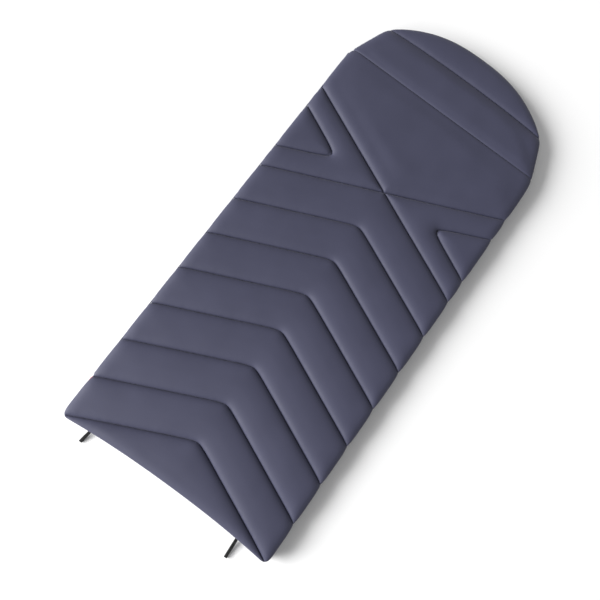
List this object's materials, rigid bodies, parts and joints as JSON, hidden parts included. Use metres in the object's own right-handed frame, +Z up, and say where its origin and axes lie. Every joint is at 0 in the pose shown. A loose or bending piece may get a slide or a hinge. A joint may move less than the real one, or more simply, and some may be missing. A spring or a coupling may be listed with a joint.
{
  "type": "infrared sauna blanket",
  "caption": "Long quilted heated blanket with a rounded hood end, lying closed and flat, with a hinged cover, a fold-back head flap, an edge zip and hanging loops.",
  "frame": {"origin": "middle of the bounding box, on the floor that the blanket lies on", "axes": "+Z up, +Y from the foot to the hood, +X to the right as seen from the foot"},
  "size_m": [0.8, 1.9164, 0.07],
  "materials": {
    "cover_fabric": "matte slate blue-grey coated fabric, quilted",
    "liner_fabric": "soft satin black-blue coated liner",
    "batting": "off-white felted fibre",
    "foil": "thin crinkled reflective foil",
    "heater_felt": "black heating felt",
    "cable": "red silicone jacket",
    "zip_tape": "dark woven tape",
    "zip_teeth": "dark moulded teeth",
    "zip_metal": "dark coated metal",
    "webbing": "black ribbed webbing",
    "socket_plastic": "black moulded plastic",
    "contact_metal": "bright brass",
    "touch_tape": "black hook and loop pile"
  },
  "bodies": {
    "mat": {"base_batting": "batting", "base_foil": "foil", "base_heating_cable": "cable", "base_heating_felt": "heater_felt", "base_lead": "cable", "base_liner": "liner_fabric", "base_side_foot": "cover_fabric", "base_side_head": "cover_fabric", "base_side_left": "cover_fabric", "base_side_right": "cover_fabric", "base_temperature_sensor": "socket_plastic", "base_thermal_cutout": "contact_metal", "base_underside": "cover_fabric", "contact_pin_a_high": "contact_metal", "contact_pin_a_low": "contact_metal", "contact_pin_b_high": "contact_metal", "contact_pin_b_low": "contact_metal", "cover_feed_lead": "cable", "edge_pad_foot": "batting", "edge_pad_head": "batting", "edge_pad_left": "batting", "edge_pad_right": "batting", "hinge_piping": "cover_fabric", "liner_border": "liner_fabric", "loop_anchor_left": "webbing", "loop_anchor_right": "webbing", "socket_housing_a": "socket_plastic", "socket_housing_b": "socket_plastic", "socket_insert_a": "socket_plastic", "socket_insert_b": "socket_plastic", "socket_panel": "cover_fabric", "touch_tape_hook": "touch_tape", "zip_stop_lower": "zip_metal", "zip_tape_lower_foot": "zip_tape", "zip_tape_lower_side": "zip_tape", "zip_teeth_lower_foot": "zip_teeth", "zip_teeth_lower_side": "zip_teeth"},
    "cover": {"cover_batting": "batting", "cover_foil": "foil", "cover_heating_cable": "cable", "cover_heating_felt": "heater_felt", "cover_lead": "cable", "cover_liner": "liner_fabric", "cover_shell": "cover_fabric", "cover_temperature_sensor": "socket_plastic", "cover_thermal_cutout": "contact_metal", "zip_stop_upper": "zip_metal", "zip_tape_upper_foot": "zip_tape", "zip_tape_upper_side": "zip_tape", "zip_teeth_upper_foot": "zip_teeth", "zip_teeth_upper_side": "zip_teeth"},
    "head_flap": {"flap_batting": "batting", "flap_liner": "liner_fabric", "flap_shell": "cover_fabric", "touch_tape_loop": "touch_tape"},
    "slider": {"zip_slider": "zip_metal"},
    "pull": {"zip_pull": "zip_metal"},
    "left_loop": {"hang_loop_left": "webbing"},
    "right_loop": {"hang_loop_right": "webbing"}
  },
  "joints": [
    {"name": "cover_open", "type": "hinge", "parent": "mat", "child": "cover", "pos_m": [-0.3983, 0, 0.035], "axis": [0, -1, 0], "range_deg": [0, 180]},
    {"name": "flap_fold", "type": "hinge", "parent": "cover", "child": "head_flap", "pos_m": [0, 0.69221, 0.07], "axis": [1, 0, 0], "range_deg": [0, 178]},
    {"name": "zip_slide", "type": "slide", "parent": "mat", "child": "slider", "axis": [0, 1, 0], "range_m": [-1.47, 0]},
    {"name": "pull_swing", "type": "hinge", "parent": "slider", "child": "pull", "pos_m": [0.3957, 0.64221, 0.035], "axis": [0, -1, 0], "range_deg": [-3, 120]},
    {"name": "left_loop_swing", "type": "hinge", "parent": "mat", "child": "left_loop", "pos_m": [-0.298, -0.89139, 0.014], "axis": [-1, 0, 0], "range_deg": [0, 65]},
    {"name": "right_loop_swing", "type": "hinge", "parent": "mat", "child": "right_loop", "pos_m": [0.281, -0.89139, 0.014], "axis": [-1, 0, 0], "range_deg": [0, 65]}
  ]
}
